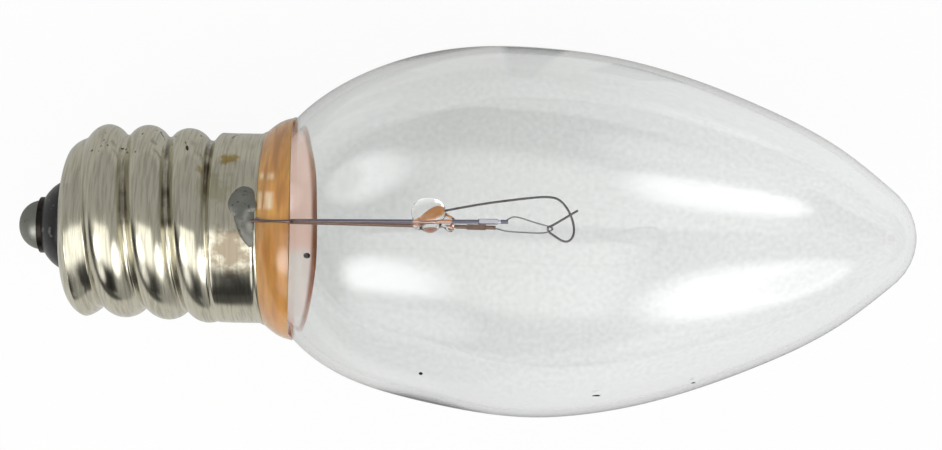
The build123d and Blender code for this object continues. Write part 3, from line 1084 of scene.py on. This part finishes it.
class SupportWire(Piece):
    """The dull wire that rises from the bead, loops over and hooks the filament."""

    sizes: SupportSizes

    def build(self) -> None:
        """Bend the wire along its route."""
        sizes = self.sizes
        wire = tube(rounded_path(sizes.route, sizes.steps), sizes.radius, sizes.sides)
        self.add("support_wire", *wire, Slot.SUPPORT_WIRE, "filament_support")


@dataclass(frozen=True)
class SealSizes:
    """The copper leaves in the bead, each with two ends and the half width at each end.

    The tip keeps the ends from closing to a point.
    """

    strips: tuple[tuple[Point, Point, float, float], ...] = (
        ((23.95, 0.68, 0.30), (25.52, 1.30, 0.10), 0.04, 0.42),
        ((23.80, 0.36, 0.25), (24.60, 0.48, 0.25), 0.17, 0.10),
        ((25.60, 1.10, 0.15), (26.35, 0.72, 0.20), 0.07, 0.09),
        ((25.72, 0.42, 0.20), (26.25, 0.16, 0.20), 0.05, 0.11),
    )
    tip: float = 0.02
    bow: float = 0.12
    thickness: float = 0.05
    rows: int = 14
    columns: int = 16


class CopperSeal(Piece):
    """Thin copper that shows orange through the fused glass."""

    sizes: SealSizes

    def build(self) -> None:
        """Lay each strip as a thin bowed leaf."""
        sizes = self.sizes
        turns = full_turn(sizes.columns)
        shares = np.linspace(0, 1, sizes.rows)
        rounding = np.sqrt(np.sin(np.clip(shares, sizes.tip, 1 - sizes.tip) * math.pi))
        faces = grid_faces(sizes.rows, sizes.columns, capped=True)
        for number, (start, end, first, last) in enumerate(sizes.strips, start=1):
            start, end = local(start), local(end)
            ahead = (end - start) / np.linalg.norm(end - start)
            across = np.cross(ahead, (0, 1, 0))
            across /= np.linalg.norm(across)
            out = np.cross(across, ahead)
            widths = (first + (last - first) * shares) * rounding
            bow = out * (sizes.bow * np.sin(shares * math.pi))[:, None]
            middle = start + (end - start) * shares[:, None] + bow
            around = across * (widths[:, None] * np.cos(turns))[..., None]
            around = around + out * (sizes.thickness / 2 * np.sin(turns))[None, :, None]
            self.add(f"bead_copper_{number}", (middle[:, None] + around) * MM, faces, Slot.LEAD_WIRE)


@dataclass(frozen=True)
class SolderSizes:
    """The drop of solder on the skirt, and the end of the lead that leaves it over the rim.

    The outline lists directions in degrees and the drop's reach in each. The lead's route has
    stations, offsets and heights.
    """

    station: float = 14.38
    angle: float = 80.6
    outline: tuple[Span, ...] = (
        (0, 0.73),
        (63, 1.49),
        (90, 1.76),
        (118, 1.52),
        (145, 1.26),
        (166, 1.00),
        (202, 0.68),
        (236, 0.87),
        (256, 1.25),
        (272, 1.88),
        (279, 2.35),
        (285, 2.33),
        (292, 1.80),
        (313, 1.07),
    )
    blur: int = 2
    height: float = 0.26
    roundness: float = 0.7
    lumps: float = 0.9
    lump_scales: Span = (1.6, 8.0)
    lump_seed: float = 0.7
    skirt_radius: float = SKIRT_RADIUS
    rim_station: float = RIM_STATION
    over_rim: float = 0.12
    sink: float = 0.12
    edge_power: int = 8
    rows: int = 60
    columns: int = 120
    wire: tuple[Point, ...] = (
        (14.10, 0.43, 5.55),
        (14.60, 0.43, 5.80),
        (15.05, 0.45, 6.00),
        (15.60, 0.45, 6.25),
        (16.30, 0.45, 6.62),
        (17.10, 0.44, 7.00),
        (17.50, 0.43, 7.02),
    )
    wire_radius: float = 0.085
    wire_sides: int = 12
    wire_steps: int = 60


class SolderDrop(Piece):
    """The low uneven mound of two lobes that joins the side lead to the rim."""

    sizes: SolderSizes

    def build(self) -> None:
        """Raise the mound from the skirt inside its outline, and lay the lead's end on it."""
        sizes = self.sizes
        shares = np.linspace(0, 1, sizes.rows)[:, None]
        turns = full_turn(sizes.columns)[None]
        ways, reaches = np.array(sizes.outline).T
        reach = np.interp(np.degrees(turns[0]), ways, reaches, period=360)
        rolls = range(-sizes.blur, sizes.blur + 1)
        reach = sum(np.roll(reach, step) for step in rolls)[None] / len(rolls)
        station = sizes.station + shares * reach * np.cos(turns)
        station = np.minimum(station, sizes.rim_station + sizes.over_rim)
        angle = math.radians(sizes.angle) - shares * reach * np.sin(turns) / sizes.skirt_radius
        spots = np.stack([station, angle], axis=-1) * sizes.lump_scales
        lump = np.array([noise.noise((*spot, sizes.lump_seed)) for spot in spots.reshape(-1, 2)])
        lump = lump.reshape(station.shape)
        height = sizes.height * (1 - shares**2) ** sizes.roundness * (1 + sizes.lumps * lump)
        upper = rings(station, sizes.skirt_radius + height - sizes.sink * shares**sizes.edge_power, angle)
        lower = rings(station, sizes.skirt_radius - sizes.sink, angle)
        points = np.vstack([upper, lower[::-1]])
        self.add("solder_drop", points, grid_faces(2 * sizes.rows, sizes.columns), Slot.SOLDER, "side_solder")
        wire = tube(rounded_path(sizes.wire, sizes.wire_steps), sizes.wire_radius, sizes.wire_sides)
        self.add("rim_wire", *wire, Slot.LEAD_WIRE)


@dataclass(frozen=True)
class BeadSizes:
    """The fused bead: round drops as station, offset, height and radius, melted together."""

    centre: Point = (24.85, 1.0, 0.05)
    drops: tuple[tuple[float, float, float, float], ...] = (
        (24.55, 1.12, 0.05, 0.88),
        (24.95, 1.10, 0.05, 0.84),
        (25.75, 0.62, 0.05, 0.42),
        (26.05, 0.25, 0.10, 0.30),
        (24.10, 0.45, 0.10, 0.38),
        (24.80, 0.50, 0.05, 0.62),
    )
    softness: float = 0.22
    first_reach: float = 0.05
    last_reach: float = 2.6
    rows: int = 90
    columns: int = 120
    steps: int = 80
    halvings: int = 12


class FusedBead(Piece):
    """The glass bead that holds the two leads and the support wire."""

    sizes: BeadSizes

    def _inside(self, points: np.ndarray) -> np.ndarray:
        """Tell which points lie in the melted drops."""
        depth = np.full(points.shape[:-1], -self.sizes.last_reach)
        for *middle, radius in self.sizes.drops:
            inside = radius - np.linalg.norm(points - local(middle), axis=-1)
            depth = smooth_max(inside, depth, self.sizes.softness)
        return depth > 0

    def build(self) -> None:
        """Find the bead's surface in every direction from its middle."""
        sizes = self.sizes
        centre = local(sizes.centre)
        ways = ball_ways(sizes.rows, sizes.columns)
        low = np.zeros(ways.shape[:2])
        for step in np.linspace(sizes.first_reach, sizes.last_reach, sizes.steps):
            low = np.where(self._inside(centre + ways * step), step, low)
        high = low + sizes.last_reach / sizes.steps
        for _ in range(sizes.halvings):
            middle = (low + high) / 2
            deep = self._inside(centre + ways * middle[..., None])
            low = np.where(deep, middle, low)
            high = np.where(deep, high, middle)
        points = (centre + ways * low[..., None]) * MM
        self.add("bead", points, grid_faces(sizes.rows, sizes.columns), Slot.CLEAR_GLASS, "glass_bead")


@dataclass(frozen=True)
class CementSizes:
    """The poured ring of cement between the rim and the glass.

    The film creeps on over the glass past the ring's edge, and its turn, in radians, points to
    where it is longest. The profile lists stations and radii of the hidden inner side, from the
    edge back to the rim.
    """

    rim_station: float = RIM_STATION
    rim_radius: float = 5.86
    swell: float = 0.16
    unevenness: float = 0.02
    edge_station: float = 17.15
    edge_drop: float = 0.5
    edge_radius: float = 6.99
    lip: float = 0.1
    film_reach: float = 0.05
    film_radius: float = 7.06
    film_swing: float = 0.8
    film_bias: float = 0.5
    film_turn: float = 0.5
    film_wander: float = 0.05
    wander_scale: float = 2.0
    wander_seed: float = 0.4
    profile: tuple[Span, ...] = (
        (16.1, 5.75),
        (RIM_STATION, 5.07),
        (12.8, 4.42),
        (12.8, 5.49),
        (14.75, 5.49),
    )
    rows: int = 24
    columns: int = 180


class PouredCement(Piece):
    """The amber ring, thick at the rim and feathered out over the glass on its upper side."""

    sizes: CementSizes

    def build(self) -> None:
        """Make the ring as a closed loop of profile rows round the axis."""
        sizes = self.sizes
        turns = full_turn(sizes.columns)
        spots = np.stack([np.cos(turns), np.sin(turns)], axis=-1) * sizes.wander_scale
        wander = np.array([noise.noise((*spot, sizes.wander_seed)) for spot in spots])
        swing = sizes.film_swing * np.cos(turns - sizes.film_turn)
        film = sizes.film_reach * smooth_step(sizes.film_bias + swing) + sizes.film_wander * (wander + 1)
        film_share = film / (sizes.film_reach + 2 * sizes.film_wander)
        edge = sizes.edge_station - sizes.edge_drop * np.cos(turns) ** 2
        slope = (sizes.edge_radius - sizes.rim_radius) / (sizes.edge_station - sizes.rim_station)
        widening = slope * (edge - sizes.rim_station)
        share = np.linspace(0, 1, sizes.rows)[:, None]
        swell = sizes.swell * np.sin(share * math.pi) + share * widening + sizes.unevenness * wander
        edge_radius = sizes.rim_radius + widening
        film_radius = edge_radius + (sizes.film_radius - sizes.edge_radius) * film_share
        rows = [
            rings(sizes.rim_station + (edge - sizes.rim_station) * share, sizes.rim_radius + swell, turns),
            rings(edge + film, film_radius, turns)[None],
            rings(edge, edge_radius - sizes.lip, turns)[None],
        ]
        rows += [rings(station, radius, turns)[None] for station, radius in sizes.profile]
        points = np.vstack(rows)
        faces = grid_faces(len(points), sizes.columns, closed_rows=True)
        self.add("cement", points, faces, Slot.AMBER_CEMENT, "basing_cement")


# Studio


@dataclass(frozen=True)
class Wall:
    """A stretch of the room: its angles in degrees round X and its ends along X, with soft edges."""

    colour: Colour
    angles: Span
    angle_edges: Span
    ends: Span
    end_edges: Span


@dataclass(frozen=True)
class StudioSizes:
    """Places and strengths of the camera, the lamps and the floor.

    The paper is what shows through the glass, and the mirrored tones are what the bulb reflects
    of the floor. A mirrored step has its direction, the places between which its tone comes in,
    and the tone. A patch has its limits along X and Y and its depth. A lamp has a direction, a
    spread in degrees and a strength.
    """

    view_lean: float = 11.0
    view_distance: float = 150.0
    view_width: float = 56.95
    view_roll: float = 0.93
    sensor_width: float = 36.0
    clip_start: float = 5.0
    aim_station: float = 27.45
    aim_offset: float = 0.41
    floor_reach: float = 600.0
    floor_colour: Colour = (0.97, 0.97, 0.965)
    floor_roughness: float = 0.9
    floor_glow: float = 0.94
    paper_left: Colour = (0.67, 0.68, 0.67)
    paper_right: Colour = (0.94, 0.95, 0.945)
    paper_fade: Span = (-8.0, 22.0)
    paper_reach: Span = (19.0, 22.0)
    grain_depth: float = 0.13
    grain_range: Span = (0.3, 0.7)
    grain_scale: float = 2800.0
    black: Colour = (0.03, 0.03, 0.03)
    mirrored: tuple[tuple[str, Span, Colour], ...] = (
        ("Y", (-46.0, -30.0), (0.66, 0.655, 0.64)),
        ("X", (-8.0, -2.0), (0.34, 0.34, 0.335)),
        ("Y", (-2.0, 2.0), (0.48, 0.48, 0.465)),
    )
    patches: tuple[tuple[Span, Span, float], ...] = (
        ((3.9, 8.4), (14.0, 60.0), 1.0),
        ((13.5, 20.5), (20.0, 36.0), 0.9),
        ((-14.0, -7.0), (22.0, 30.0), 0.5),
    )
    patch_edge: float = 1.0
    room_colour: Colour = (0.42, 0.42, 0.41)
    dark_wall: Wall = Wall((0.03, 0.03, 0.03), (28.0, 96.0), (56.0, 6.0), (-1.5, 0.3), (0.3, 0.3))
    window: Wall = Wall((1.6, 1.6, 1.56), (5.0, 54.0), (6.0, 18.0), (-0.85, 0.25), (0.3, 0.3))
    lamps: tuple[tuple[Point, float, float], ...] = (
        ((0.58, -0.58, 0.57), 23.0, 4.0),
        ((0.74, -0.50, 0.45), 16.0, 2.2),
        ((-0.72, -0.52, 0.46), 18.0, 5.0),
        ((-0.55, -0.80, 0.22), 20.0, 1.3),
    )


class Studio:
    """The camera, the soft lamps and the pale floor."""

    def __init__(self, axis: BulbAxis, effects: Effects, sizes: StudioSizes) -> None:
        self.axis = axis
        self.effects = effects
        self.sizes = sizes

    def build(self) -> None:
        """Make everything round the bulb."""
        self._camera()
        self._floor()
        self._room()
        log.info("studio ready")

    def _camera(self) -> None:
        """Place the camera above the bulb, leaning towards its base as the photo does."""
        sizes = self.sizes
        lean = math.radians(sizes.view_lean)
        back = Vector((-math.sin(lean), 0, math.cos(lean)))
        right = (self.axis.along - back * self.axis.along.dot(back)).normalized()
        up = back.cross(right)
        roll = math.radians(sizes.view_roll)
        right, up = right * math.cos(roll) + up * math.sin(roll), up * math.cos(roll) - right * math.sin(roll)
        data = bpy.data.cameras.new("camera")
        data.sensor_width = sizes.sensor_width
        data.lens = sizes.sensor_width * sizes.view_distance / sizes.view_width
        data.clip_start = sizes.clip_start * MM
        camera = bpy.data.objects.new("camera", data)
        aim = self.axis.place(sizes.aim_station, sizes.aim_offset, 0)
        turn = Matrix((right, up, back)).transposed().to_4x4()
        camera.matrix_world = Matrix.Translation(aim + back * sizes.view_distance * MM) @ turn
        bpy.context.scene.collection.objects.link(camera)
        bpy.context.scene.camera = camera

    def _floor(self) -> None:
        """Lay a wide sheet under the bulb that keeps its shadow."""
        reach = self.sizes.floor_reach * MM
        mesh = bpy.data.meshes.new("floor")
        corners = [(-reach, -reach, 0), (reach, -reach, 0), (reach, reach, 0), (-reach, reach, 0)]
        mesh.from_pydata(corners, [], [(0, 1, 2, 3)])
        floor = bpy.data.objects.new("floor", mesh)
        bpy.context.scene.collection.objects.link(floor)
        mesh.materials.append(self._floor_material())

    def _paper(self, finish: Finish, place: Socket, parts: Mapping[str, Socket]) -> Socket:
        """Colour the paper that shows through the glass: a fade, fine grain and a white border."""
        sizes = self.sizes
        fade = finish.remap(finish.math("SUBTRACT", parts["X"], parts["Y"]), *sizes.paper_fade, smooth=False)
        paper = finish.mix(fade, sizes.paper_left, sizes.paper_right)
        grain = finish.clouds(place, sizes.grain_scale, detail=3.0)
        speck = finish.remap(grain, *sizes.grain_range, (0.0, sizes.grain_depth), smooth=False)
        paper = finish.mix(speck, paper, sizes.black)
        return finish.mix(finish.remap(finish.math("ABSOLUTE", parts["Y"]), *sizes.paper_reach), paper, WHITE)

    def _mirrored(self, finish: Finish, parts: Mapping[str, Socket]) -> Socket:
        """Colour what the bulb reflects of the floor: steps of grey and a few dark patches."""
        sizes = self.sizes
        colour = sizes.black
        for name, limits, tone in sizes.mirrored:
            colour = finish.mix(finish.remap(parts[name], *limits), colour, tone)
        for along, across, depth in sizes.patches:
            spans = (("X", along), ("Y", across))
            masks = [finish.band(parts[name], *span, sizes.patch_edge) for name, span in spans]
            colour = finish.mix(finish.product(*masks, depth), colour, sizes.black)
        return colour

    def _floor_material(self) -> bpy.types.Material:
        """Make the floor white where it is seen directly and pale grey paper through the glass."""
        sizes = self.sizes
        finish = Finish("paper", self.effects)
        finish.shade(Base_Color=rgba(sizes.floor_colour), Roughness=sizes.floor_roughness)
        place = finish.object_place()
        scaled = finish.vector("MULTIPLY", place, (1 / MM,) * 3).outputs[0]
        parts = finish.add("ShaderNodeSeparateXYZ", Vector=scaled).outputs
        rays = finish.add("ShaderNodeLightPath").outputs
        paper = self._paper(finish, place, parts)
        seen = finish.mix(rays["Is Transmission Ray"], self._mirrored(finish, parts), paper)
        seen = finish.mix(rays["Is Camera Ray"], seen, WHITE)
        straight = rays["Is Camera Ray"]
        for name in ("Is Transmission Ray", "Is Glossy Ray"):
            straight = finish.math("MAXIMUM", straight, rays[name])
        glow = finish.add("ShaderNodeEmission", Strength=1.0, Color=seen)
        surface = finish.add("ShaderNodeMixShader")
        share = finish.product(straight, sizes.floor_glow)
        for number, value in enumerate((share, finish.shader.outputs[0], glow.outputs[0])):
            finish.set(surface, number, value)
        finish.set(finish.output, "Surface", surface.outputs[0])
        return finish.material

    def _room(self) -> None:
        """Light the bulb with a grey room, a dark wall, a broad window and soft round lamps."""
        sizes = self.sizes
        world = bpy.data.worlds.new("room")
        world.use_nodes = True
        nodes = NodeTree(world.node_tree)
        way = nodes.add("ShaderNodeTexCoord").outputs["Generated"]
        parts = nodes.add("ShaderNodeSeparateXYZ", Vector=way).outputs
        angle = nodes.math("ARCTAN2", nodes.product(parts["Y"], -1.0), parts["Z"])
        colour = sizes.room_colour
        for wall in (sizes.dark_wall, sizes.window):
            around = self._stretch(nodes, angle, wall.angles, wall.angle_edges, math.radians(1.0))
            along = self._stretch(nodes, parts["X"], wall.ends, wall.end_edges)
            colour = nodes.mix(nodes.product(around, along), colour, wall.colour)
        for middle, spread, strength in sizes.lamps:
            near = nodes.vector("DOT_PRODUCT", way, tuple(Vector(middle).normalized())).outputs["Value"]
            mask = nodes.remap(near, math.cos(math.radians(spread)), 1.0)
            colour = nodes.mix(mask, colour, (strength,) * 3)
        nodes.set(nodes.tree.nodes["Background"], "Color", colour)
        bpy.context.scene.world = world

    @staticmethod
    def _stretch(nodes: NodeTree, value: Socket, limits: Span, edges: Span, unit: float = 1.0) -> Socket:
        """Make a mask that is one between two limits, with a soft edge about each.

        Args:
            nodes: The tree to add to.
            value: The value to mask.
            limits: First and last value of the stretch.
            edges: Width of the soft edge at each end.
            unit: The size of the limits' and edges' unit.

        Returns:
            The mask's socket.
        """
        masks = []
        for limit, edge, ends in zip(limits, edges, (RISING, FALLING)):
            masks.append(nodes.remap(value, (limit - edge / 2) * unit, (limit + edge / 2) * unit, ends))
        return nodes.product(*masks)


def main() -> None:
    """Build the looks of the bulb in order, then the studio round it."""
    bpy.context.scene.view_settings.view_transform = "Standard"
    axis = BulbAxis.from_record(frame["record"])
    effects = Effects(axis)
    palette = Palette(effects)
    CadPieces(frame).dress(palette)
    GlassEnvelope(axis, palette, EnvelopeSizes()).build(frame["nodes"]["glass_envelope"].data)
    RolledShell(axis, palette, ShellSizes()).build()
    PouredCement(axis, palette, CementSizes()).build()
    SolderDrop(axis, palette, SolderSizes()).build()
    FusedBead(axis, palette, BeadSizes()).build()
    CopperSeal(axis, palette, SealSizes()).build()
    SupportWire(axis, palette, SupportSizes()).build()
    CoiledFilament(axis, palette, FilamentSizes()).build()
    Studio(axis, effects, StudioSizes()).build()


if __name__ == "__main__":
    main()
